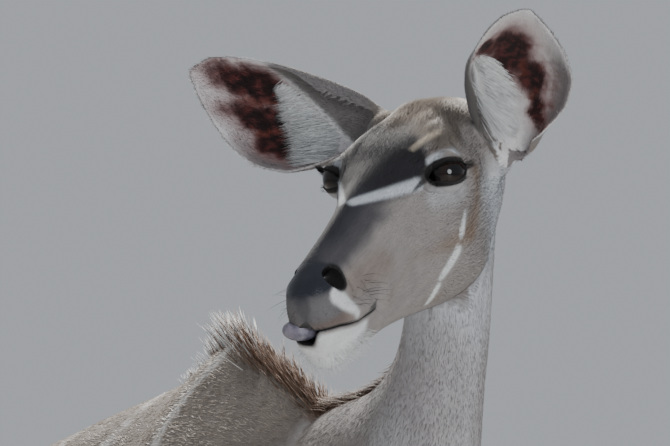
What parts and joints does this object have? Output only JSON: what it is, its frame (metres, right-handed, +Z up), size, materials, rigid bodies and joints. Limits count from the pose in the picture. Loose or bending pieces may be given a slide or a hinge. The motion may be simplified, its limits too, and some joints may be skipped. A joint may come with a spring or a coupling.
{
  "type": "greater kudu",
  "caption": "Life-size standing greater kudu cow, head turned to its right and chewing, with large cupped ears, a short crest along neck and withers, thin white body stripes and a tufted tail.",
  "frame": {"origin": "on the ground, under the middle of the whole animal's bounding box", "axes": "+X the way the body faces, from tail to chest; +Y the animal's left; +Z up"},
  "size_m": [1.7262, 0.5206, 1.5168],
  "materials": {
    "coat": "short matt fawn-grey hair with thin white stripes, darker on the bridge of the nose and paler on chin, throat and belly",
    "tail_hair": "long soft grey-brown hair, white below, with a black tip",
    "hoof": "hard black-brown horn, satin",
    "eye": "wet, glossy dark brown",
    "tongue": "wet bluish grey-pink skin"
  },
  "bodies": {
    "root": {"head": "coat", "neck": "coat", "torso": "coat", "tail": "tail_hair", "ear_left": "coat", "ear_right": "coat", "eye_left": "eye", "eye_right": "eye", "tongue": "tongue", "foreleg_left_upper": "coat", "foreleg_left_lower": "coat", "foreleg_left_hoof_inner": "hoof", "foreleg_left_dewclaw_inner": "hoof", "foreleg_left_hoof_outer": "hoof", "foreleg_left_dewclaw_outer": "hoof", "foreleg_right_upper": "coat", "foreleg_right_lower": "coat", "foreleg_right_hoof_inner": "hoof", "foreleg_right_dewclaw_inner": "hoof", "foreleg_right_hoof_outer": "hoof", "foreleg_right_dewclaw_outer": "hoof", "hindleg_left_upper": "coat", "hindleg_left_lower": "coat", "hindleg_left_hoof_inner": "hoof", "hindleg_left_dewclaw_inner": "hoof", "hindleg_left_hoof_outer": "hoof", "hindleg_left_dewclaw_outer": "hoof", "hindleg_right_upper": "coat", "hindleg_right_lower": "coat", "hindleg_right_hoof_inner": "hoof", "hindleg_right_dewclaw_inner": "hoof", "hindleg_right_hoof_outer": "hoof", "hindleg_right_dewclaw_outer": "hoof"}
  },
  "joints": []
}
